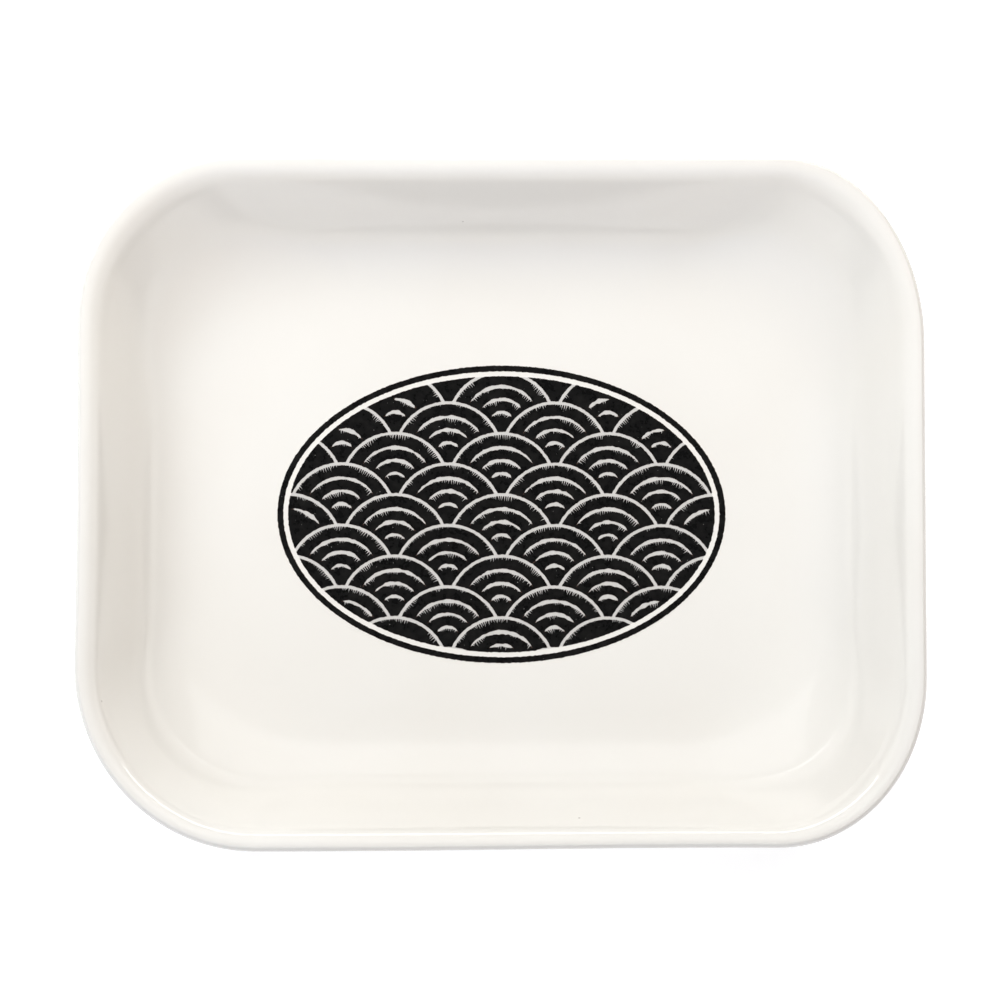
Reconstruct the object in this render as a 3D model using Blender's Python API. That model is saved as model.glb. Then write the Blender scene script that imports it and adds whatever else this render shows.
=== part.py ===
# Glazed ceramic sponge tray with a black print fired onto its floor.
# Metres, +Z up. The origin is under the middle of the tray, on the plane its foot stands on.
# The long side runs along X. The print reads upright when +Y points away from the reader.

import math

import bmesh
import bpy

# The tray, one pressed and fired piece with the same thickness all over
TRAY_LENGTH = 0.1400
TRAY_WIDTH = 0.1150
TRAY_HEIGHT = 0.0250
BODY_THICKNESS = 0.0033
RIM_CORNER_RADIUS = 0.0275
FLOOR_CORNER_RADIUS = 0.0160
WALL_SLOPE = math.radians(62)
COVE_RADIUS = 0.0160
FOOT_HEIGHT = 0.0018
FOOT_WIDTH = 0.0032
FOOT_ROUNDING = 0.0006

# The print, an oval in the middle of the floor. Its enamel is laid thicker than life, so that
# each patch of ink is a sound solid.
PRINT_LENGTH = 0.0754
PRINT_WIDTH = 0.0504
INK_THICKNESS = 0.0002
INK_SEAT_GAP = 0.0003

# The ring round the print, and the white ring between it and the waves
BORDER_WIDTH = 0.0010
BORDER_GAP = 0.0008

# Waves: overlapping round scales in rows, each row shifted by half a scale from the next.
# Their number sets their size, so that they fill the oval. A scale of which the oval leaves
# less than the smallest share isn't printed, nor is a line shorter than its least share.
HALF_SCALES_TO_END = 4
ROWS_ACROSS = 9
FIRST_ROW = -0.6
SMALLEST_SCALE_SHARE = 0.015
SHORTEST_LINE_SHARE = 0.4
WAVE_GAP = 0.0005
WAVE_LINES = 3
WAVE_LINE_WIDTH = 0.00055
WAVE_LINE_INSET = 0.0007

# How finely round shapes are divided
CORNER_STEPS = 12
COVE_STEPS = 9
LIP_STEPS = 8
FOOT_STEPS = 3
BORDER_STEPS = 64
CREST_STEPS = 12
SIDE_STEPS = 4
LINE_STEPS = 6
LINE_SAMPLES = 36
DOUBLE_DISTANCE = 0.00005

# Heights and insets that follow. An inset is measured inwards from the rim's outer edge.
LIP_RADIUS = BODY_THICKNESS / 2
FLOOR_HEIGHT = FOOT_HEIGHT + BODY_THICKNESS
LIP_CENTRE_HEIGHT = TRAY_HEIGHT - LIP_RADIUS
WALL_TOP_INSET = LIP_RADIUS * (1 + math.sin(WALL_SLOPE))
WALL_TOP_HEIGHT = LIP_CENTRE_HEIGHT + LIP_RADIUS * math.cos(WALL_SLOPE)
FLOOR_INSET = (
    WALL_TOP_INSET
    + (WALL_TOP_HEIGHT - FLOOR_HEIGHT) / math.tan(WALL_SLOPE)
    + COVE_RADIUS * math.tan(WALL_SLOPE / 2)
)
COVE_CENTRE_HEIGHT = FLOOR_HEIGHT + COVE_RADIUS

# The half length and half width of the print's ovals, and the sizes that follow from them
BORDER_OVAL = (PRINT_LENGTH / 2, PRINT_WIDTH / 2)
BORDER_HOLE = tuple(reach - BORDER_WIDTH for reach in BORDER_OVAL)
WAVES_OVAL = tuple(reach - BORDER_GAP for reach in BORDER_HOLE)
LINES_OVAL = tuple(reach - WAVE_LINE_INSET for reach in WAVES_OVAL)
WAVE_RADIUS = WAVES_OVAL[0] / HALF_SCALES_TO_END
ROW_PITCH = 2 * WAVES_OVAL[1] / ROWS_ACROSS
CREST_RADIUS = WAVE_RADIUS - WAVE_GAP / 2
COVER_RADIUS = WAVE_RADIUS + WAVE_GAP / 2
INK_MIDDLE_HEIGHT = FLOOR_HEIGHT + INK_SEAT_GAP + INK_THICKNESS / 2


def clear_scene():
    for obj in list(bpy.data.objects):
        bpy.data.objects.remove(obj)


def make_material(name, colour, roughness, coat):
    material = bpy.data.materials.new(name)
    material.use_nodes = True
    shader = material.node_tree.nodes["Principled BSDF"]
    shader.inputs["Base Color"].default_value = (*colour, 1)
    shader.inputs["Roughness"].default_value = roughness
    shader.inputs["Metallic"].default_value = 0
    shader.inputs["Coat Weight"].default_value = coat
    return material


def spread(start, end, steps):
    """Evenly spaced numbers from start to end, both included."""
    return [start + (end - start) * i / steps for i in range(steps + 1)]


# Tray body

def corner_radius(inset):
    """Corners tighten steadily from the rim down to the floor's edge, and on to the foot."""
    return RIM_CORNER_RADIUS + (FLOOR_CORNER_RADIUS - RIM_CORNER_RADIUS) * inset / FLOOR_INSET


def rounded_rectangle(inset, height):
    """One level of the tray: a rounded rectangle of points, set in from the rim's outer edge."""
    radius = corner_radius(inset)
    reach_x = TRAY_LENGTH / 2 - inset - radius
    reach_y = TRAY_WIDTH / 2 - inset - radius
    points = []
    for corner, (side_x, side_y) in enumerate([(1, 1), (-1, 1), (-1, -1), (1, -1)]):
        for turn in spread(corner * math.pi / 2, (corner + 1) * math.pi / 2, CORNER_STEPS):
            points.append((
                side_x * reach_x + radius * math.cos(turn),
                side_y * reach_y + radius * math.sin(turn),
                height,
            ))
    return points


def cove(radius, angles):
    """Inset and height along the round between floor and wall. Angle 0 is the floor's edge."""
    return [
        (FLOOR_INSET - radius * math.sin(angle), COVE_CENTRE_HEIGHT - radius * math.cos(angle))
        for angle in angles
    ]


def lip(angles):
    """Inset and height round the rim's lip. Angle 0 points inwards, a quarter turn points up."""
    return [
        (LIP_RADIUS + LIP_RADIUS * math.cos(angle), LIP_CENTRE_HEIGHT + LIP_RADIUS * math.sin(angle))
        for angle in angles
    ]


def foot():
    """Inset and height round the foot, from its outer face to its inner face."""
    outer = FLOOR_INSET + FOOT_ROUNDING
    inner = FLOOR_INSET + FOOT_WIDTH - FOOT_ROUNDING
    quarter = spread(0, math.pi / 2, FOOT_STEPS)
    round_outer = [
        (outer - FOOT_ROUNDING * math.cos(a), FOOT_ROUNDING - FOOT_ROUNDING * math.sin(a))
        for a in quarter
    ]
    round_inner = [
        (inner + FOOT_ROUNDING * math.sin(a), FOOT_ROUNDING - FOOT_ROUNDING * math.cos(a))
        for a in quarter
    ]
    return round_outer + round_inner + [(FLOOR_INSET + FOOT_WIDTH, FOOT_HEIGHT)]


def tray_section():
    """The wall's outline, from the floor's edge up over the lip and down to inside the foot."""
    up = spread(0, WALL_SLOPE, COVE_STEPS)
    inner_turn = math.pi / 2 - WALL_SLOPE
    return (
        cove(COVE_RADIUS, up)
        + lip(spread(inner_turn, inner_turn + math.pi, LIP_STEPS))
        + cove(COVE_RADIUS + BODY_THICKNESS, reversed(up))
        + foot()
    )


def make_tray_body(collection, glaze):
    """A loft through unlike rounded rectangles, closed by the floor and by the underside."""
    mesh = bmesh.new()
    levels = [
        [mesh.verts.new(point) for point in rounded_rectangle(inset, height)]
        for inset, height in tray_section()
    ]
    for level, following in zip(levels, levels[1:]):
        for i in range(len(level)):
            mesh.faces.new((level[i - 1], level[i], following[i], following[i - 1]))
    mesh.faces.new(levels[0])
    mesh.faces.new(reversed(levels[-1]))
    bmesh.ops.recalc_face_normals(mesh, faces=mesh.faces)
    data = bpy.data.meshes.new("tray_body")
    mesh.to_mesh(data)
    mesh.free()
    data.shade_smooth()
    data.set_sharp_from_angle(angle=math.radians(40))
    data.materials.append(glaze)
    body = bpy.data.objects.new("tray_body", data)
    collection.objects.link(body)


# Print

def make_ink(collection, name, outlines, ink):
    """One patch of ink: a flat outline, and the outlines of the lines left white in it."""
    shape = bpy.data.curves.new(name, "CURVE")
    shape.dimensions = "2D"
    shape.fill_mode = "BOTH"
    shape.extrude = INK_THICKNESS / 2
    for outline in outlines:
        spline = shape.splines.new("POLY")
        spline.points.add(len(outline) - 1)
        for point, (x, y) in zip(spline.points, outline):
            point.co = (x, y, 0, 1)
        spline.use_cyclic_u = True
    shape.materials.append(ink)
    patch = bpy.data.objects.new(name, shape)
    patch.location.z = INK_MIDDLE_HEIGHT
    collection.objects.link(patch)


def oval(reach):
    """Points round an oval on the tray's middle, given its half length and half width."""
    turns = spread(0, 2 * math.pi, BORDER_STEPS)[:-1]
    return [(reach[0] * math.cos(turn), reach[1] * math.sin(turn)) for turn in turns]


def polar(centre, radius, angle):
    return centre[0] + radius * math.cos(angle), centre[1] + radius * math.sin(angle)


def arc(centre, radius, start, end, steps):
    """Points along an arc, given its angles as seen from its centre."""
    return [polar(centre, radius, angle) for angle in spread(start, end, steps)]


def hidden_up_to(radius, cover):
    """How far round, as an angle, a circle is hidden by the nearer scale centred at cover."""
    away = math.hypot(*cover)
    share = (radius**2 + away**2 - COVER_RADIUS**2) / (2 * radius * away)
    return math.atan2(cover[1], cover[0]) + math.acos(max(-1.0, min(1.0, share)))


def scale_outline():
    """The part of a scale that shows above the nearer ones, about the scale's own centre."""
    beside = (WAVE_RADIUS, -ROW_PITCH)
    below = (0, -2 * ROW_PITCH)
    end = hidden_up_to(CREST_RADIUS, beside)
    side_top = math.atan2(
        CREST_RADIUS * math.sin(end) - beside[1],
        beside[0] - CREST_RADIUS * math.cos(end),
    )
    meets_mirror = math.acos(WAVE_RADIUS / COVER_RADIUS)
    meets_below = hidden_up_to(COVER_RADIUS, beside)
    side_foot = max(meets_mirror, meets_below)
    left = arc((-beside[0], beside[1]), COVER_RADIUS, side_top, side_foot, SIDE_STEPS)
    foot_x, foot_y = left[-1]
    foot_angle = math.atan2(foot_y - below[1], foot_x)
    right = [(-x, y) for x, y in reversed(left)]
    bottom = []
    if meets_below > meets_mirror:
        bottom = arc(below, COVER_RADIUS, foot_angle, math.pi - foot_angle, 2)[1:-1]
    crest = arc((0, 0), CREST_RADIUS, end, math.pi - end, CREST_STEPS)
    return crest[:-1] + left + bottom + right[:-1]


def clip_to_oval(outline, reach):
    """Cuts off what lies outside an oval, one of its tangents at a time."""
    for turn in spread(0, 2 * math.pi, BORDER_STEPS)[:-1]:
        slope_x, slope_y = math.cos(turn) / reach[0], math.sin(turn) / reach[1]
        outside = [x * slope_x + y * slope_y - 1 for x, y in outline]
        kept = []
        for i, (x, y) in enumerate(outline):
            if outside[i - 1] * outside[i] < 0:
                last_x, last_y = outline[i - 1]
                share = outside[i - 1] / (outside[i - 1] - outside[i])
                kept.append((last_x + (x - last_x) * share, last_y + (y - last_y) * share))
            if outside[i] <= 0:
                kept.append((x, y))
        outline = kept
    return outline


def without_doubles(outline):
    """Leaves out each point that all but touches the one before it."""
    return [
        point for i, point in enumerate(outline)
        if math.dist(point, outline[i - 1]) > DOUBLE_DISTANCE
    ]


def area(outline):
    return abs(sum(
        outline[i - 1][0] * y - x * outline[i - 1][1] for i, (x, y) in enumerate(outline)
    )) / 2


def white_line(centre, radius, start, end):
    """A line left white along an arc, widest in the middle and pointed at both ends."""
    outer, inner = [], []
    for i, angle in enumerate(spread(start, end, LINE_STEPS)):
        half_width = WAVE_LINE_WIDTH / 2 * math.sqrt(math.sin(math.pi * i / LINE_STEPS))
        outer.append(polar(centre, radius + half_width, angle))
        inner.append(polar(centre, radius - half_width, angle))
    return outer + inner[-2:0:-1]


def runs_inside_oval(centre, radius, angles):
    """The stretches of an arc that lie inside the oval that holds the white lines."""
    runs = [[]]
    for angle in angles:
        x, y = polar(centre, radius, angle)
        if math.hypot(x / LINES_OVAL[0], y / LINES_OVAL[1]) < 1:
            runs[-1].append(angle)
        else:
            runs.append([])
    return [run for run in runs if run]


def white_lines(centre):
    """The lines of one scale, each only as long as it stays inside the scale and the oval."""
    lines = []
    for line in range(WAVE_LINES):
        radius = CREST_RADIUS * (1 - (line + 1) / (WAVE_LINES + 1))
        hidden = max(
            hidden_up_to(radius, (WAVE_RADIUS, -ROW_PITCH)),
            hidden_up_to(radius, (0, -2 * ROW_PITCH)),
        )
        start = hidden + WAVE_LINE_INSET / radius
        angles = spread(start, math.pi - start, LINE_SAMPLES)
        for run in runs_inside_oval(centre, radius, angles):
            if run[-1] - run[0] > SHORTEST_LINE_SHARE * (angles[-1] - angles[0]):
                lines.append(white_line(centre, radius, run[0], run[-1]))
    return lines


def make_waves(collection, ink):
    """Rows of scales over the whole oval, each scale cut off where the oval ends."""
    whole_scale = scale_outline()
    columns = math.ceil((HALF_SCALES_TO_END + 1) / 2)
    for row in range(ROWS_ACROSS + 1):
        y = (FIRST_ROW + row) * ROW_PITCH - WAVES_OVAL[1]
        made = 0
        for column in range(-columns, columns + 1):
            x = (2 * column + row % 2) * WAVE_RADIUS
            outline = clip_to_oval([(x + px, y + py) for px, py in whole_scale], WAVES_OVAL)
            if area(outline) > SMALLEST_SCALE_SHARE * area(whole_scale):
                made += 1
                outlines = [without_doubles(outline), *white_lines((x, y))]
                make_ink(collection, f"wave_{row + 1}_{made}", outlines, ink)


def main():
    clear_scene()
    collection = bpy.data.collections.new("sponge_tray")
    bpy.context.scene.collection.children.link(collection)
    glaze = make_material("white_glaze", (0.90, 0.87, 0.81), 0.12, 0.5)
    ink = make_material("black_enamel", (0.012, 0.012, 0.012), 0.3, 0.2)
    make_tray_body(collection, glaze)
    make_ink(collection, "print_border", [oval(BORDER_OVAL), oval(BORDER_HOLE)], ink)
    make_waves(collection, ink)


main()
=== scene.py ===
# Looks of the sponge tray: glazed white porcelain with a black wave print fired onto its floor,
# on a pale studio table. Metres, +Z up, the same frame as the solids.
import math

import bmesh
import bpy
from mathutils import Matrix, Vector, noise
from mathutils.geometry import delaunay_2d_cdt


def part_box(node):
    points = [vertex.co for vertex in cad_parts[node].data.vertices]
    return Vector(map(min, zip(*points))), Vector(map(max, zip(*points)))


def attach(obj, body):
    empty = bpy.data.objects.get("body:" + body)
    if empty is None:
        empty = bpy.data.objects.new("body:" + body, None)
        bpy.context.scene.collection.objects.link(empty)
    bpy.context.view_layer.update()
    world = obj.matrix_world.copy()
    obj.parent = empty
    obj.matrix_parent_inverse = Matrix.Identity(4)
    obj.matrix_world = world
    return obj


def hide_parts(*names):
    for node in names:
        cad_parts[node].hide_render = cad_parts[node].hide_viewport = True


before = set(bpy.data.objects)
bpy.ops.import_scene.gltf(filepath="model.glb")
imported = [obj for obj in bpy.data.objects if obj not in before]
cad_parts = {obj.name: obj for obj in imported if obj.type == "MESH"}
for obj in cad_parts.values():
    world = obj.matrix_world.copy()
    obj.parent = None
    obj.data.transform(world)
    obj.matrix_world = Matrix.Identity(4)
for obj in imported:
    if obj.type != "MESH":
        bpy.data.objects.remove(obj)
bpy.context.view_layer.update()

mm = 0.001


# Camera

trayLow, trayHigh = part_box("tray_body")

view = {
    "lean": 6.7,  # degrees from straight above, towards the reader's side
    "distance": 0.900,
    "lens": 195.2,
    "roll": 0.11,
    "aimRight": 0.43 * mm,  # the tray sits a little left of and above the picture's middle
    "aimNear": 0.66 * mm,
}


def makeCamera():
    lean = math.radians(view["lean"])
    back = Vector((0, -math.sin(lean), math.cos(lean)))
    aim = Vector((view["aimRight"], -view["aimNear"], trayHigh.z))
    turn = Matrix.Rotation(lean, 4, "X") @ Matrix.Rotation(math.radians(view["roll"]), 4, "Z")
    data = bpy.data.cameras.new("photoCamera")
    data.lens = view["lens"]
    camera = bpy.data.objects.new("photoCamera", data)
    camera.matrix_world = Matrix.Translation(aim + back * view["distance"]) @ turn
    bpy.context.scene.collection.objects.link(camera)
    bpy.context.scene.camera = camera


# Shader wires

class Wire:
    # one output socket of a shader's nodes; sums with it add Math nodes to the same shader
    def __init__(self, socket):
        self.socket = socket

    def node(self, kind, settings=None, inputs=None, output=0):
        # adds any node: settings first, then a value or a wire for each named input
        made = self.socket.id_data.nodes.new(kind)
        for name, value in (settings or {}).items():
            setattr(made, name, value)
        for name, value in (inputs or {}).items():
            into = pick(made.inputs, name)
            if isinstance(value, Wire):
                into.id_data.links.new(value.socket, into)
            else:
                into.default_value = value
        return Wire(pick(made.outputs, output))

    def maths(self, operation, first, second):
        return self.node("ShaderNodeMath", {"operation": operation}, {0: first, 1: second})

    def vector(self, operation, first, second, output="Vector"):
        inputs = {0: first, ("Scale" if operation == "SCALE" else 1): second}
        return self.node("ShaderNodeVectorMath", {"operation": operation}, inputs, output)

    def __add__(self, other):
        return self.maths("ADD", self, other)

    def __sub__(self, other):
        return self.maths("SUBTRACT", self, other)

    def __rsub__(self, other):
        return self.maths("SUBTRACT", other, self)

    def __mul__(self, other):
        return self.maths("MULTIPLY", self, other)

    def __truediv__(self, other):
        return self.maths("DIVIDE", self, other)

    def __pow__(self, other):
        return self.maths("POWER", self, other)

    __radd__ = __add__
    __rmul__ = __mul__


def pick(sockets, name):
    if isinstance(name, int):
        return sockets[name]
    return next(socket for socket in sockets if socket.enabled and socket.name == name)


def newFinish(name):
    # an empty material, its shader, and the wire of the place on the piece
    material = bpy.data.materials.new(name)
    material.use_nodes = True
    nodes = material.node_tree.nodes
    place = Wire(nodes.new("ShaderNodeTexCoord").outputs["Object"])
    return material, nodes["Principled BSDF"], place


def feed(shader, inputs):
    for name, value in inputs.items():
        into = shader.inputs[name]
        if isinstance(value, Wire):
            shader.id_data.links.new(value.socket, into)
        else:
            into.default_value = value


def cloudy(place, size, detail=2, roughness=0.5):
    # soft noise from 0 to 1 whose blotches are about that size
    inputs = {"Vector": place, "Scale": 1 / size, "Detail": detail, "Roughness": roughness}
    return place.node("ShaderNodeTexNoise", {}, inputs)


def between(wire, low, high):
    # 0 below low and 1 above high, smooth between them
    settings = {"interpolation_type": "SMOOTHSTEP"}
    inputs = {"Value": wire, "From Min": low, "From Max": high}
    return wire.node("ShaderNodeMapRange", settings, inputs)


def bumped(relief, strength):
    # the normal of a relief in metres
    inputs = {"Height": relief, "Distance": 1.0, "Strength": strength}
    return relief.node("ShaderNodeBump", {}, inputs)


def blendColours(factor, first, second):
    settings = {"data_type": "RGBA"}
    inputs = {"Factor": factor}
    for name, colour in (("A", first), ("B", second)):
        inputs[name] = colour if isinstance(colour, Wire) else (*colour, 1)
    mixed = factor.node("ShaderNodeMix", settings, inputs)
    return Wire(pick(mixed.socket.node.outputs, "Result"))


dotSizes = (0.5, 1.1)  # the smallest and largest dot, as shares of the size asked for
dotEdge = (0.7, 1.1)  # where a dot's soft edge starts and ends, as shares of its reach
cloudEdge = (0.3, 0.7)  # where soft noise is taken as none and as full


def dots(place, spacing, size, share):
    # scattered round dots: 1 on a dot, 0 off it; share is how many of the cells hold one
    inputs = {"Vector": place, "Scale": 1 / spacing, "Randomness": 1.0}
    near = place.node("ShaderNodeTexVoronoi", {}, inputs, "Distance")
    cell = Wire(pick(near.socket.node.outputs, "Color"))
    luck = cell.node("ShaderNodeSeparateColor", {}, {"Color": cell}, "Red")
    chosen = between(luck, 1 - share, 1 - share + 0.001)
    smallest, largest = dotSizes
    grown = Wire(pick(luck.socket.node.outputs, "Green")) * (largest - smallest) + smallest
    reach = grown * (size / spacing / 2)
    return chosen * (1 - between(near / reach, *dotEdge))


def coordinate(place, axis):
    return place.node("ShaderNodeSeparateXYZ", {}, {"Vector": place}, axis)


# Porcelain shell

shell = {
    "thickness": 3.3 * mm,
    "wallSlope": 62,
    "coveRadius": 16 * mm,
    "coveLength": 21 * mm,  # along the inside, from the floor to the straight wall
    "lipEase": 2.6,  # above 1, the lip turns fast at its top and ever slower towards the wall
    "lipCrest": 0.75 * mm,  # from the rim's outermost line in to its top
    "lipDrop": 1.5 * mm,  # from its top down to its outermost line
    # how far the rim's corners reach along and across the tray, none quite alike in the photo
    "rimCorners": {
        "farRight": (23.6 * mm, 31.0 * mm),
        "farLeft": (27.0 * mm, 28.4 * mm),
        "nearLeft": (30.0 * mm, 31.2 * mm),
        "nearRight": (24.7 * mm, 28.5 * mm),
    },
    "floorCorner": 16 * mm,
    "coveCorner": 26 * mm,  # the same inside, where the corners are filled out more
    "filledInset": 13 * mm,  # from the rim in to where they are filled out
    "footHeight": 1.8 * mm,
    "footWidth": 3.2 * mm,
    "footRounding": 0.6 * mm,
    "footFillet": 0.5 * mm,
    "nearSway": 0.39 * mm,  # the near side runs out on its left and in on its right
    "swayScale": 2.6,  # brings the highest value of u**3 - u to 1
    "leftBow": -0.94 * mm,  # the left side runs out a little towards its corners
    "unevenness": 0.07 * mm,  # of the hand-finished rim
    "unevenSize": 28 * mm,
    "cornerSteps": 40,
    "sideSteps": 28,
    "coveSteps": 30,
    "lipSteps": 24,
    "footSteps": 6,
    "filletSteps": 4,
    "floorRings": 26,
}

# the solid's own section, which the straight walls follow
lipRadius = shell["thickness"] / 2
wallSlope = math.radians(shell["wallSlope"])
floorHeight = shell["footHeight"] + shell["thickness"]
lipHeight = trayHigh.z - lipRadius
wallTop = (lipRadius * (1 + math.sin(wallSlope)), lipHeight + lipRadius * math.cos(wallSlope))
floorInset = (
    wallTop[0]
    + (wallTop[1] - floorHeight) / math.tan(wallSlope)
    + shell["coveRadius"] * math.tan(wallSlope / 2)
)
coveHeight = floorHeight + shell["coveRadius"]


def spread(start, end, steps):
    return [start + (end - start) * i / steps for i in range(steps + 1)]


def middles(steps):
    # the middle of each of the equal steps from 0 to 1
    return spread(0.5 / steps, 1 - 0.5 / steps, steps - 1)


def roundStretch(inset, height, radius, angles):
    # points of the section on a round; angle 0 points inwards to the tray's middle, 90 up
    turns = [math.radians(angle) for angle in angles]
    return [(inset + radius * math.cos(a), height + radius * math.sin(a)) for a in turns]


def wallInset(height):
    return wallTop[0] + (wallTop[1] - height) / math.tan(wallSlope)


def eased(share):
    share = max(0.0, min(1.0, share))
    return share * share * (3 - 2 * share)


def walked(slopes, stride):
    # a curve of equal strides, each rising at its own slope
    points = [(0.0, 0.0)]
    for rise in slopes:
        x, z = points[-1]
        points.append((x + stride * math.cos(rise), z + stride * math.sin(rise)))
    return points


def innerCove():
    # the floor turns up with no sudden change of curve, and ends on the straight wall
    steps = shell["coveSteps"]
    slopes = [wallSlope * eased(share) for share in middles(steps)]
    curve = walked(slopes, shell["coveLength"] / steps)
    width, rise = curve[-1]
    start = wallInset(floorHeight + rise) + width
    return [(start - x, floorHeight + z) for x, z in curve]


def innerLip():
    # from the straight wall up to the rim's top
    steps = 2 * shell["lipSteps"]
    slopes = [wallSlope * (1 - share ** shell["lipEase"]) for share in middles(steps)]
    curve = walked(slopes, 1.0)
    width, rise = curve[-1]
    tangent = math.tan(wallSlope)
    stride = (wallInset(trayHigh.z) - shell["lipCrest"]) / (width - rise / tangent)
    foot = (shell["lipCrest"] + stride * width, trayHigh.z - stride * rise)
    return [(foot[0] - stride * x, foot[1] + stride * z) for x, z in curve]


def outerLip():
    # over the top and down the outside, on an oval round that ends at the outer wall's slope
    crest, drop = shell["lipCrest"], shell["lipDrop"]
    last = math.pi + math.atan(drop / crest / math.tan(wallSlope))
    turns = spread(math.pi / 2, last, shell["lipSteps"])[1:]
    return [(crest + crest * math.cos(a), trayHigh.z - drop + drop * math.sin(a)) for a in turns]


def outerWall():
    # from the lip down the outside and in under the foot
    slope = shell["wallSlope"]
    outerCove = shell["coveRadius"] + shell["thickness"]
    fillet = shell["footFillet"]
    filletTurn = math.degrees(math.asin(fillet / outerCove))
    down = spread(-90 - slope, -90 - filletTurn, shell["coveSteps"])
    foot, width, rounding = shell["footHeight"], shell["footWidth"], shell["footRounding"]
    steps, filletSteps = shell["footSteps"], shell["filletSteps"]
    footInner = floorInset + width
    return (
        roundStretch(floorInset, coveHeight, outerCove, down)
        + roundStretch(floorInset - fillet, foot - fillet, fillet, spread(90, 0, filletSteps))
        + roundStretch(floorInset + rounding, rounding, rounding, spread(180, 270, steps))
        + roundStretch(footInner - rounding, rounding, rounding, spread(270, 360, steps))
        + roundStretch(footInner + fillet, foot - fillet, fillet, spread(180, 90, filletSteps))
    )


def handFinished(x, y, z, inset):
    # bends the plan a little, fully at the rim and not at all at the floor
    u, v = x / trayHigh.x, y / trayHigh.y
    share = max(0.0, 1 - inset / floorInset)
    if y < 0:
        y -= shell["nearSway"] * share * v * v * shell["swayScale"] * (u**3 - u)
    if x < 0:
        x += shell["leftBow"] * share * u * u * v * v
    wobble = noise.noise(Vector((x, y, z)) / shell["unevenSize"])
    return x, y, z + shell["unevenness"] * share * (wobble - 0.5)


def innerCorner(rim, inset):
    # a corner's reach keeps the lip as narrow there as along the sides, and then fills it out
    share = eased((inset - shell["lipCrest"]) / (shell["filledInset"] - shell["lipCrest"]))
    return (rim - inset) * (1 - share) + shell["coveCorner"] * share


def outerCorner(rim, inset):
    return rim + (shell["floorCorner"] - rim) * inset / floorInset


def shellRing(inset, height, cornerReach):
    # one level: a rounded rectangle whose corners differ at the rim and are alike at the floor
    points = []
    sides = ((1, 1), (-1, 1), (-1, -1), (1, -1))
    for quarter, (reach, (sideX, sideY)) in enumerate(zip(shell["rimCorners"].values(), sides)):
        along, across = (cornerReach(rim, inset) for rim in reach)
        middleX = sideX * (trayHigh.x - inset - along)
        middleY = sideY * (trayHigh.y - inset - across)
        start, end = quarter * math.pi / 2, (quarter + 1) * math.pi / 2
        turns = spread(start, end, shell["cornerSteps"])
        arc = [(middleX + along * math.cos(a), middleY + across * math.sin(a)) for a in turns]
        if points:
            points += alongSide(points[-1], arc[0])
        points += arc
    points += alongSide(points[-1], points[0])
    return [handFinished(x, y, height, inset) for x, y in points]


def alongSide(start, end):
    (startX, startY), (endX, endY) = start, end
    shares = spread(0, 1, shell["sideSteps"])[1:-1]
    return [(startX + (endX - startX) * s, startY + (endY - startY) * s) for s in shares]


def shrunk(ring, share):
    return [(x * share, y * share, z) for x, y, z in ring]


def newPiece(name, mesh, finish, nodes):
    # a finished mesh becomes a piece of the tray, in place of those solids
    data = bpy.data.meshes.new(name)
    mesh.to_mesh(data)
    mesh.free()
    data.materials.append(finish)
    piece = bpy.data.objects.new(name, data)
    bpy.context.scene.collection.objects.link(piece)
    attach(piece, "root")
    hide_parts(*nodes)
    return piece


def makeShell(finish):
    inside = innerCove() + innerLip() + outerLip()
    rings = [shellRing(inset, height, innerCorner) for inset, height in inside]
    rings += [shellRing(inset, height, outerCorner) for inset, height in outerWall()]
    inwards = spread(1, 0, shell["floorRings"])[1:-1]
    rings = [shrunk(rings[0], s) for s in reversed(inwards)] + rings
    rings += [shrunk(rings[-1], s) for s in inwards]
    mesh = bmesh.new()
    levels = [[mesh.verts.new(point) for point in ring] for ring in rings]
    for level, following in zip(levels, levels[1:]):
        for i in range(len(level)):
            mesh.faces.new((level[i - 1], level[i], following[i], following[i - 1]))
    for level, height in ((levels[0], rings[0][0][2]), (levels[-1], rings[-1][0][2])):
        middle = mesh.verts.new((0, 0, height))
        for i in range(len(level)):
            mesh.faces.new((middle, level[i - 1], level[i]))
    bmesh.ops.recalc_face_normals(mesh, faces=mesh.faces)
    piece = newPiece("trayShell", mesh, finish, ["tray_body"])
    piece.data.shade_smooth()
    return piece


glaze = {
    "colour": (0.90, 0.87, 0.81),
    "paleColour": (0.915, 0.89, 0.835),
    "toneSize": 35 * mm,
    "roughness": 0.09,
    "wearRoughness": 0.05,
    "wearSize": 9 * mm,
    "wearEdge": (0.35, 0.75),
    "coat": 0.35,
    "coatRoughness": 0.04,
    "speckColour": (0.34, 0.30, 0.26),
    "speckSpacing": 6.5 * mm,
    "speckSize": 0.42 * mm,
    "speckShare": 0.09,
    "speckCloud": 11 * mm,  # the size of the patches with stronger specks
    "rippleSize": 14 * mm,
    "rippleDepth": 0.03 * mm,
    "pinholeSpacing": 9 * mm,
    "pinholeSize": 0.35 * mm,
    "pinholeShare": 0.12,
    "pinholeDepth": 0.03 * mm,
    # the foot's lowest face is bare clay
    "bareColour": (0.70, 0.63, 0.54),
    "paleBareColour": (0.78, 0.72, 0.64),
    "bareGrain": 1.2 * mm,
    "bareRoughness": 0.6,
    "bareHeight": 0.35 * mm,
    "bareEdge": 0.08 * mm,
    "bareWobble": 0.25 * mm,
    "bareWobbleSize": 2.5 * mm,
    "clayGrain": 0.25 * mm,
    "clayDepth": 0.05 * mm,
    # thin ink left in the print's white lines
    "filmColour": (0.60, 0.585, 0.56),
    "filmLeast": 0.55,
    "filmWear": 0.4,
    "filmGrain": 0.5 * mm,
    "filmEdge": (0.995, 1.0),  # as shares of the print's oval
    "filmHeight": (-0.3 * mm, -0.1 * mm),  # where it starts and is whole, from the floor's top
}


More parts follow.
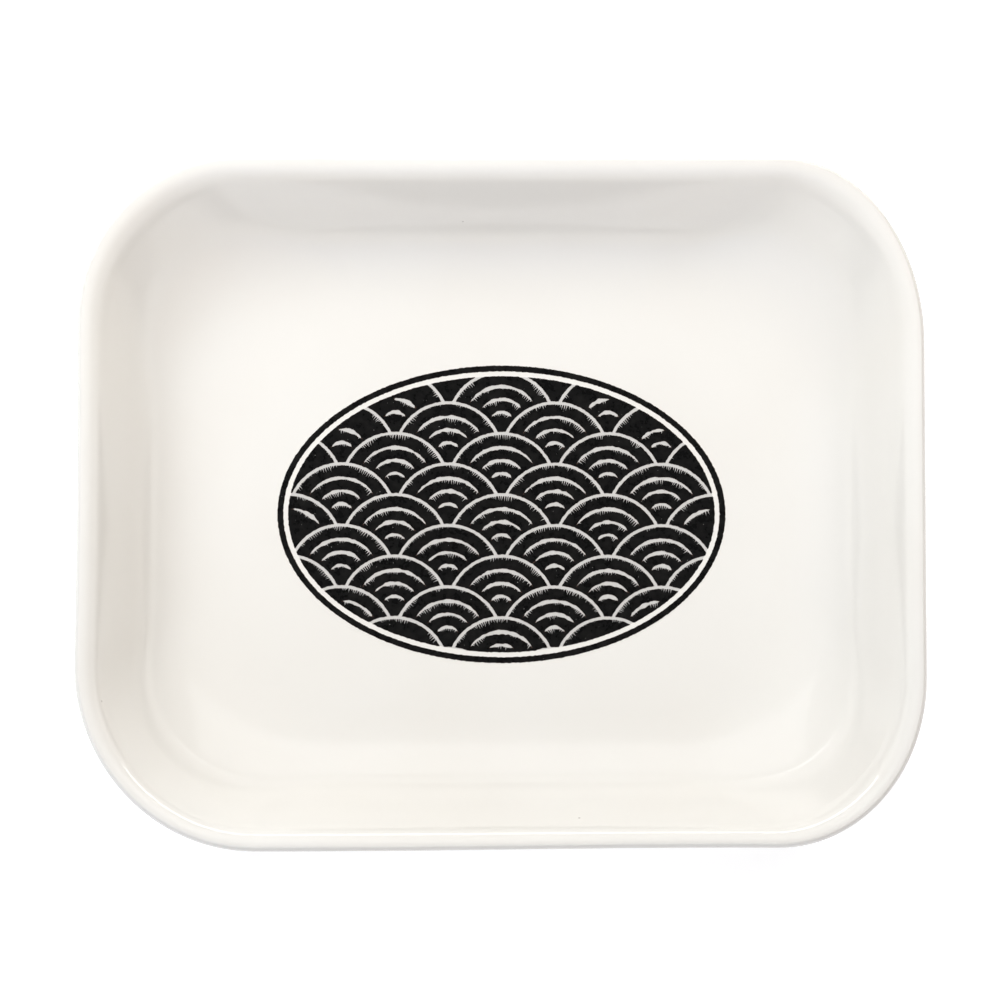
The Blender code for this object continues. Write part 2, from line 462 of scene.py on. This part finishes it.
def glazeFinish():
    material, shader, place = newFinish("porcelainGlaze")
    tone = between(cloudy(place, glaze["toneSize"]), *cloudEdge)
    colour = blendColours(tone, glaze["colour"], glaze["paleColour"])
    specks = dots(place, glaze["speckSpacing"], glaze["speckSize"], glaze["speckShare"])
    strength = between(cloudy(place, glaze["speckCloud"]), *cloudEdge)
    colour = blendColours(specks * strength, colour, glaze["speckColour"])

    # a thin grey film of ink all over the print's oval, worn unevenly
    flat = place.vector("MULTIPLY", place.vector("DIVIDE", place, (*waves["oval"], 1)), (1, 1, 0))
    across = place.vector("LENGTH", flat, (0, 0, 0), "Value")
    height = coordinate(place, "Z")
    onFloor = between(height, *(floorHeight + rise for rise in glaze["filmHeight"]))
    worn = glaze["filmLeast"] + glaze["filmWear"] * cloudy(place, glaze["filmGrain"], 3)
    film = (1 - between(across, *glaze["filmEdge"])) * onFloor * worn
    colour = blendColours(film, colour, glaze["filmColour"])

    # bare clay under the foot, with an uneven edge
    edge = height + (cloudy(place, glaze["bareWobbleSize"]) - 0.5) * glaze["bareWobble"]
    bare = 1 - between(edge, glaze["bareHeight"], glaze["bareHeight"] + glaze["bareEdge"])
    mottle = cloudy(place, glaze["bareGrain"], 5)
    clay = blendColours(mottle, glaze["bareColour"], glaze["paleBareColour"])
    colour = blendColours(bare, colour, clay)

    wear = between(cloudy(place, glaze["wearSize"], 3), *glaze["wearEdge"])
    roughness = glaze["roughness"] + glaze["wearRoughness"] * wear + glaze["bareRoughness"] * bare
    ripple = cloudy(place, glaze["rippleSize"], 1)
    pinholes = dots(place, glaze["pinholeSpacing"], glaze["pinholeSize"], glaze["pinholeShare"])
    relief = ripple * glaze["rippleDepth"] - pinholes * glaze["pinholeDepth"]
    relief = relief + bare * cloudy(place, glaze["clayGrain"], 3) * glaze["clayDepth"]
    feed(shader, {
        "Base Color": colour,
        "Roughness": roughness,
        "Coat Weight": glaze["coat"] * (1 - bare),
        "Coat Roughness": glaze["coatRoughness"],
        "Normal": bumped(relief, 1.0),
    })
    return material


# Print

borderLow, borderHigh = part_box("print_border")

waves = {
    "borderWidth": 1.0 * mm,
    "borderGap": 0.8 * mm,
    "halfScalesToEnd": 4,
    "rowsAcross": 9,
    "firstRow": -0.6,
    "smallestShare": 0.015,
    "gap": 0.5 * mm,
    "lines": 3,
    "lineWidth": 0.58 * mm,
    "lineWobble": 0.7,  # how unevenly the lines are cut
    "wobbleSize": 0.9 * mm,
    "lineInset": 0.7 * mm,
    "shortestLine": 0.4,
    "film": 0.03 * mm,  # the ink's thickness above the glaze
    "sunk": 0.02 * mm,
    "step": 0.18 * mm,
    "ragged": 0.08 * mm,
    "raggedSize": 0.5 * mm,
    "fineRagged": 0.6,  # a finer raggedness, as a share of that
    "fineRaggedSize": 0.2 * mm,
    "brownEdge": 0.13 * mm,
    "weld": 0.0005 * mm,  # points closer than this become one
    "ovalSteps": 180,
    "arcSteps": 48,
    "lineSteps": 28,
    "runSteps": 72,
    # fine cuts inwards from the white lines, as an engraver shades
    "nickEvery": 0.38 * mm,
    "nickLength": 1.05 * mm,
    "nickWidth": 0.20 * mm,
    "nickRoot": 0.05 * mm,  # how far they start outside the line's middle
    "shortestNick": 0.25 * mm,
    "nickPatch": 2.4 * mm,  # the size of the stretches with longer and shorter cuts
    "nickLuck": (0.45, 0.4),  # a cut's usual length as a share, and how much each one differs
    "nickLuckSize": 0.3 * mm,
    "nickLean": 0.5 * mm,
    "nickLeanSize": 0.8 * mm,
}

borderOval = ((borderHigh.x - borderLow.x) / 2, (borderHigh.y - borderLow.y) / 2)
borderHole = tuple(reach - waves["borderWidth"] for reach in borderOval)
waves["oval"] = tuple(reach - waves["borderGap"] for reach in borderHole)
linesOval = tuple(reach - waves["lineInset"] for reach in waves["oval"])
waveRadius = waves["oval"][0] / waves["halfScalesToEnd"]
rowPitch = 2 * waves["oval"][1] / waves["rowsAcross"]
crestRadius = waveRadius - waves["gap"] / 2
coverRadius = waveRadius + waves["gap"] / 2


def ovalPoints(reach):
    turns = spread(0, 2 * math.pi, waves["ovalSteps"])[:-1]
    return [(reach[0] * math.cos(a), reach[1] * math.sin(a)) for a in turns]


def unevenAt(x, y, layer, size):
    # noise at a place of the print, one of several layers
    return noise.noise(Vector((x, y, layer)) / size)


def polar(centre, radius, angle):
    return centre[0] + radius * math.cos(angle), centre[1] + radius * math.sin(angle)


def arcPoints(centre, radius, start, end, steps):
    return [polar(centre, radius, angle) for angle in spread(start, end, steps)]


def hiddenUpTo(radius, cover):
    # how far round, as an angle, a circle is hidden by the nearer scale centred at cover
    away = math.hypot(*cover)
    share = (radius**2 + away**2 - coverRadius**2) / (2 * radius * away)
    return math.atan2(cover[1], cover[0]) + math.acos(max(-1.0, min(1.0, share)))


def scaleOutline():
    # what shows of a scale above the nearer ones, about the scale's own centre
    beside, below = (waveRadius, -rowPitch), (0, -2 * rowPitch)
    end = hiddenUpTo(crestRadius, beside)
    endX, endY = polar((0, 0), crestRadius, end)
    sideTop = math.atan2(endY - beside[1], beside[0] - endX)
    meetsMirror = math.acos(waveRadius / coverRadius)
    meetsBelow = hiddenUpTo(coverRadius, beside)
    sideFoot = max(meetsMirror, meetsBelow)
    steps = waves["arcSteps"]
    left = arcPoints((-beside[0], beside[1]), coverRadius, sideTop, sideFoot, steps // 3)
    footX, footY = left[-1]
    footAngle = math.atan2(footY - below[1], footX)
    right = [(-x, y) for x, y in reversed(left)]
    bottom = []
    if meetsBelow > meetsMirror:
        bottom = arcPoints(below, coverRadius, footAngle, math.pi - footAngle, steps // 6)[1:-1]
    crest = arcPoints((0, 0), crestRadius, end, math.pi - end, steps)
    return crest[:-1] + left + bottom + right[:-1]


def clipToOval(outline, reach):
    # cuts off what lies outside an oval, one of its tangents at a time
    for turn in spread(0, 2 * math.pi, waves["ovalSteps"])[:-1]:
        slopeX, slopeY = math.cos(turn) / reach[0], math.sin(turn) / reach[1]
        outside = [x * slopeX + y * slopeY - 1 for x, y in outline]
        kept = []
        for i, (x, y) in enumerate(outline):
            if outside[i - 1] * outside[i] < 0:
                lastX, lastY = outline[i - 1]
                share = outside[i - 1] / (outside[i - 1] - outside[i])
                kept.append((lastX + (x - lastX) * share, lastY + (y - lastY) * share))
            if outside[i] <= 0:
                kept.append((x, y))
        outline = kept
    return outline


def area(outline):
    steps = zip(outline[-1:] + outline[:-1], outline)
    return abs(sum(lastX * y - x * lastY for (lastX, lastY), (x, y) in steps)) / 2


def runsInOval(centre, radius, angles):
    runs = [[]]
    for angle in angles:
        x, y = polar(centre, radius, angle)
        if math.hypot(x / linesOval[0], y / linesOval[1]) < 1:
            runs[-1].append(angle)
        else:
            runs.append([])
    return [run for run in runs if len(run) > 1]


def whiteLine(centre, radius, start, end):
    # a line left white along an arc, widest in the middle and pointed at both ends
    outer, inner = [], []
    steps = waves["lineSteps"]
    for i, angle in enumerate(spread(start, end, steps)):
        half = waves["lineWidth"] / 2 * math.sqrt(math.sin(math.pi * i / steps))
        x, y = polar(centre, radius, angle)
        half *= 1 + waves["lineWobble"] * unevenAt(x, y, 7, waves["wobbleSize"])
        outer.append(polar(centre, radius + half, angle))
        inner.append(polar(centre, radius - half, angle))
    return outer + inner[-2:0:-1]


def nicks(centre, radius, start, end):
    # short pointed cuts inwards from a white line, longest where its noise is highest
    cuts = []
    usual, differs = waves["nickLuck"]
    half = waves["nickWidth"] / 2 / radius
    root = radius + waves["nickRoot"]
    count = int(radius * (end - start) / waves["nickEvery"])
    for i in range(1, count):
        angle = start + (end - start) * i / count
        x, y = polar(centre, radius, angle)
        patch = unevenAt(x, y, 0, waves["nickPatch"])
        own = differs * unevenAt(x, y, 5, waves["nickLuckSize"])
        length = waves["nickLength"] * min(1.0, usual + patch + own)
        if length > waves["shortestNick"]:
            lean = waves["nickLean"] / radius * unevenAt(x, y, 9, waves["nickLeanSize"])
            cuts.append([
                polar(centre, root, angle - half),
                polar(centre, root, angle + half),
                polar(centre, radius - length, angle + lean),
            ])
    return cuts


def crestCuts(centre):
    # fine cuts inwards from the scale's own edge
    hidden = hiddenUpTo(crestRadius, (waveRadius, -rowPitch))
    start = hidden + waves["lineInset"] / crestRadius
    edge = crestRadius + 2 * waves["ragged"]
    cuts = []
    for run in runsInOval(centre, crestRadius, spread(start, math.pi - start, waves["runSteps"])):
        cuts += nicks(centre, edge, run[0], run[-1])
    return cuts


def scaleLines(centre):
    # the white lines of one scale, each only as long as it stays inside the scale and the oval
    lines, cuts = [], crestCuts(centre)
    for line in range(waves["lines"]):
        radius = crestRadius * (1 - (line + 1) / (waves["lines"] + 1))
        hidden = max(
            hiddenUpTo(radius, (waveRadius, -rowPitch)),
            hiddenUpTo(radius, (0, -2 * rowPitch)),
        )
        start = hidden + waves["lineInset"] / radius
        angles = spread(start, math.pi - start, waves["runSteps"])
        for run in runsInOval(centre, radius, angles):
            if run[-1] - run[0] > waves["shortestLine"] * (angles[-1] - angles[0]):
                lines.append(whiteLine(centre, radius, run[0], run[-1]))
                cuts += nicks(centre, radius, run[0], run[-1])
    return lines, cuts


def roughened(outline):
    # even steps round an outline, each moved a little in or out, and the points just inside
    marks, carried = [], 0.0
    for i, end in enumerate(outline):
        start = outline[i - 1]
        length = math.dist(start, end)
        at = waves["step"] - carried
        while at <= length:
            share = at / length
            out = ((end[1] - start[1]) / length, (start[0] - end[0]) / length)
            marks.append((
                start[0] + (end[0] - start[0]) * share,
                start[1] + (end[1] - start[1]) * share,
                out,
            ))
            at += waves["step"]
        carried = length - (at - waves["step"])
    rough, inside = [], []
    for i, (x, y, out) in enumerate(marks):
        jolt = unevenAt(x, y, 0, waves["raggedSize"])
        jolt += waves["fineRagged"] * unevenAt(x, y, 3, waves["fineRaggedSize"])
        jolt *= waves["ragged"]
        rough.append((x + out[0] * jolt, y + out[1] * jolt))
        if i % 2 == 0:
            inside.append((x, y, out))
    return rough, inside


def makeInk(name, outlines, cuts, node, finish):
    # a thin closed film: the outline's area, less the lines and cuts left white in it
    points, loops, brown = [], [], []
    for outline in outlines:
        rough, inside = roughened(outline)
        loops.append(list(range(len(points), len(points) + len(rough))))
        points += rough
        brown += inside
    rim = len(points)
    for cut in cuts:
        loops.append(list(range(len(points), len(points) + len(cut))))
        points += cut
    for x, y, out in brown:
        points.append((x - out[0] * waves["brownEdge"], y - out[1] * waves["brownEdge"]))
        points.append((x + out[0] * waves["brownEdge"], y + out[1] * waves["brownEdge"]))
    # worked in millimetres, which is kinder to the triangles than metres
    flat, weld = [Vector(point) / mm for point in points], waves["weld"] / mm
    verts, _, faces, fromVerts, _, fromFaces = delaunay_2d_cdt(flat, [], loops, 1, weld)
    inked = [face for face, source in zip(faces, fromFaces) if list(source) == [0]]
    mesh = bmesh.new()
    depth = mesh.verts.layers.float.new("inkDepth")
    top = {}
    for face in inked:
        for v in face:
            if v not in top:
                top[v] = mesh.verts.new((*(verts[v] * mm), floorHeight + waves["film"]))
                isInner = not fromVerts[v] or min(fromVerts[v]) >= rim
                top[v][depth] = 1.0 if isInner else 0.0
        mesh.faces.new([top[v] for v in face])
    body = bmesh.ops.extrude_face_region(mesh, geom=mesh.faces[:])
    lower = [part for part in body["geom"] if isinstance(part, bmesh.types.BMVert)]
    for vert in lower:
        vert.co.z = floorHeight - waves["sunk"]
    bmesh.ops.recalc_face_normals(mesh, faces=mesh.faces)
    # the sides come in any order, so all faces are put in one that stays the same
    ordered = sorted(mesh.faces, key=lambda face: tuple(face.calc_center_median()))
    for i, face in enumerate(ordered):
        face.index = i
    mesh.faces.sort()
    return newPiece(name, mesh, finish, [node])


ink = {
    "colour": (0.0045, 0.0045, 0.0045),
    "fadedColour": (0.0105, 0.010, 0.0095),
    "edgeColour": (0.075, 0.045, 0.034),
    "edgeGrain": 0.35 * mm,
    "edgeBlend": (0.3, 0.8),
    "flawColour": (0.42, 0.41, 0.39),
    "flawSpacing": 0.55 * mm,
    "flawSize": 0.13 * mm,
    "flawShare": 0.22,
    "flawDepth": 0.01 * mm,
    "flawPatch": 2.2 * mm,  # the size of the patches with more flaws
    "flawPatchEdge": (0.45, 0.62),
    "mottleSize": 1.4 * mm,
    "mottleFineness": 0.65,
    "mottleEdge": (0.35, 0.72),
    "mottleRoughness": 0.12,
    "grainSize": 0.3 * mm,
    "grainDepth": 0.006 * mm,
    "bump": 0.7,
    "roughness": 0.26,
    "shine": 0.10,
}


def inkFinish():
    material, shader, place = newFinish("firedInk")
    mottle = cloudy(place, ink["mottleSize"], 4, ink["mottleFineness"])
    mottle = between(mottle, *ink["mottleEdge"])
    colour = blendColours(mottle, ink["colour"], ink["fadedColour"])
    depth = place.node("ShaderNodeAttribute", {"attribute_name": "inkDepth"}, {}, "Fac")
    edge = between(depth + 0.5 * cloudy(place, ink["edgeGrain"]), *ink["edgeBlend"])
    colour = blendColours(1 - edge, colour, ink["edgeColour"])
    flawed = between(cloudy(place, ink["flawPatch"]), *ink["flawPatchEdge"])
    flaws = dots(place, ink["flawSpacing"], ink["flawSize"], ink["flawShare"]) * flawed
    colour = blendColours(flaws, colour, ink["flawColour"])
    relief = cloudy(place, ink["grainSize"], 3) * ink["grainDepth"] - flaws * ink["flawDepth"]
    feed(shader, {
        "Base Color": colour,
        "Roughness": ink["roughness"] + ink["mottleRoughness"] * mottle,
        "Specular IOR Level": ink["shine"],
        "Normal": bumped(relief, ink["bump"]),
    })
    return material


def makePrint(finish):
    border = [ovalPoints(borderOval), ovalPoints(borderHole)]
    makeInk("inkBorder", border, [], "print_border", finish)
    whole = scaleOutline()
    columns = math.ceil((waves["halfScalesToEnd"] + 1) / 2)
    for row in range(waves["rowsAcross"] + 1):
        y = (waves["firstRow"] + row) * rowPitch - waves["oval"][1]
        made = 0
        for column in range(-columns, columns + 1):
            x = (2 * column + row % 2) * waveRadius
            outline = clipToOval([(x + px, y + py) for px, py in whole], waves["oval"])
            if area(outline) > waves["smallestShare"] * area(whole):
                made += 1
                place = f"{row + 1}_{made}"
                lines, cuts = scaleLines((x, y))
                makeInk(f"inkWave_{place}", [outline, *lines], cuts, f"wave_{place}", finish)


# Studio

studio = {
    "tableSize": 3.0,
    "tableColour": (0.86, 0.86, 0.86),
    "tableRoughness": 0.9,
    "tableGlow": 0.61,  # near the tray, where its shadow shows
    "farGlow": 0.95,
    "glowReach": (0.12, 0.40),
    "roomColour": (0.10, 0.10, 0.10),
    "horizonColour": (0.96, 0.96, 0.95),
    # how high the white backdrop reaches, far from the reader and behind them, as a sine
    "horizonReach": (0.14, 0.40),
    "washTightness": 5,
    # smooth washes of light: azimuth from the far side towards the left, elevation, colour
    "washes": {
        "nearLeft": (135, 20, (0.63, 0.62, 0.63)),
        "near": (180, 20, (0.21, 0.27, 0.44)),
        "nearRight": (225, 20, (0.26, 0.12, 0.0)),
        "nearHigh": (180, 45, (0.23, 0.27, 0.30)),
    },
    # azimuth, elevation, distance, size, watts, colour, and what it gives: soft light, only its
    # mirror image in the glaze, or both
    "softBoxes": {
        "farWindow": (0, 40, 1.80, (2.6, 1.6), 9.5, (1.0, 1.0, 1.0), "all"),
        "farStrip": (0, 6, 1.80, (4.0, 0.20), 15.0, (1.0, 1.0, 1.0), "mirrored"),
        "farLeftLamp": (45, 60, 0.35, (0.28, 0.28), 0.65, (0.99, 1.0, 1.0), "soft"),
        "farRightLamp": (315, 60, 0.35, (0.28, 0.28), 0.363, (1.0, 0.96, 0.93), "soft"),
        "leftLamp": (90, 60, 0.35, (0.28, 0.28), 0.086, (0.62, 0.77, 1.0), "soft"),
    },
}


def towards(azimuth, elevation):
    # azimuth 0 is the far side, and 90 the left
    a, e = math.radians(azimuth), math.radians(elevation)
    return Vector((-math.sin(a) * math.cos(e), math.cos(a) * math.cos(e), math.sin(e)))


def makeTable():
    mesh = bmesh.new()
    bmesh.ops.create_grid(mesh, x_segments=8, y_segments=8, size=studio["tableSize"] / 2)
    data = bpy.data.meshes.new("studioTable")
    mesh.to_mesh(data)
    mesh.free()
    table = bpy.data.objects.new("studioTable", data)
    bpy.context.scene.collection.objects.link(table)
    material, shader, place = newFinish("tablePaper")
    away = between(place.vector("LENGTH", place, (0, 0, 0), "Value"), *studio["glowReach"])
    glow = studio["tableGlow"] + (studio["farGlow"] - studio["tableGlow"]) * away
    feed(shader, {
        "Base Color": (*studio["tableColour"], 1),
        "Roughness": studio["tableRoughness"],
        "Emission Color": place.vector("SCALE", (1, 1, 1), lightPath(place) * glow),
        "Emission Strength": 1.0,
    })
    data.materials.append(material)


def lightPath(wire):
    # 1 for rays that show the background: straight ones, reflections and what is seen through
    straight = wire.node("ShaderNodeLightPath", {}, {}, "Is Camera Ray")
    paths = straight.socket.node.outputs
    either = straight.maths("MAXIMUM", straight, Wire(paths["Is Glossy Ray"]))
    return either.maths("MAXIMUM", either, Wire(paths["Is Transmission Ray"]))


def makeWorld():
    world = bpy.data.worlds.new("studioRoom")
    bpy.context.scene.world = world
    world.use_nodes = True
    background = world.node_tree.nodes["Background"]
    place = Wire(world.node_tree.nodes.new("ShaderNodeTexCoord").outputs["Generated"])
    room = place.vector("ADD", studio["roomColour"], (0, 0, 0))
    for azimuth, elevation, colour in studio["washes"].values():
        facing = place.vector("DOT_PRODUCT", place, towards(azimuth, elevation), "Value")
        strength = facing.maths("MAXIMUM", facing, 0) ** studio["washTightness"]
        wash = place.vector("SCALE", colour, strength)
        room = place.vector("ADD", room, wash)
    far, near = studio["horizonReach"]
    reach = (far + near) / 2 + coordinate(place, "Y") * ((far - near) / 2)
    low = 1 - between(coordinate(place, "Z") / reach, 0.0, 1.0)
    feed(background, {"Color": blendColours(low, room, studio["horizonColour"]), "Strength": 1.0})


def makeSoftBox(name, azimuth, elevation, distance, size, power, colour, gives="all"):
    # a soft box that faces the tray
    aim = towards(azimuth, elevation)
    data = bpy.data.lights.new(name, "AREA")
    data.shape = "RECTANGLE"
    data.size, data.size_y = size
    data.energy = power
    data.color = colour
    lamp = bpy.data.objects.new(name, data)
    lamp.visible_camera = False
    lamp.visible_glossy = gives != "soft"
    lamp.visible_diffuse = gives != "mirrored"
    turn = aim.to_track_quat("Z", "Y").to_matrix().to_4x4()
    lamp.matrix_world = Matrix.Translation(aim * distance) @ turn
    bpy.context.scene.collection.objects.link(lamp)


def makeStudio():
    makeTable()
    makeWorld()
    for name, softBox in studio["softBoxes"].items():
        makeSoftBox(name, *softBox)
    bpy.context.scene.view_settings.view_transform = "Standard"


makeCamera()
print("camera placed")
makeShell(glazeFinish())
print("porcelain shell made")
makePrint(inkFinish())
print("print made")
makeStudio()
print("studio lit")
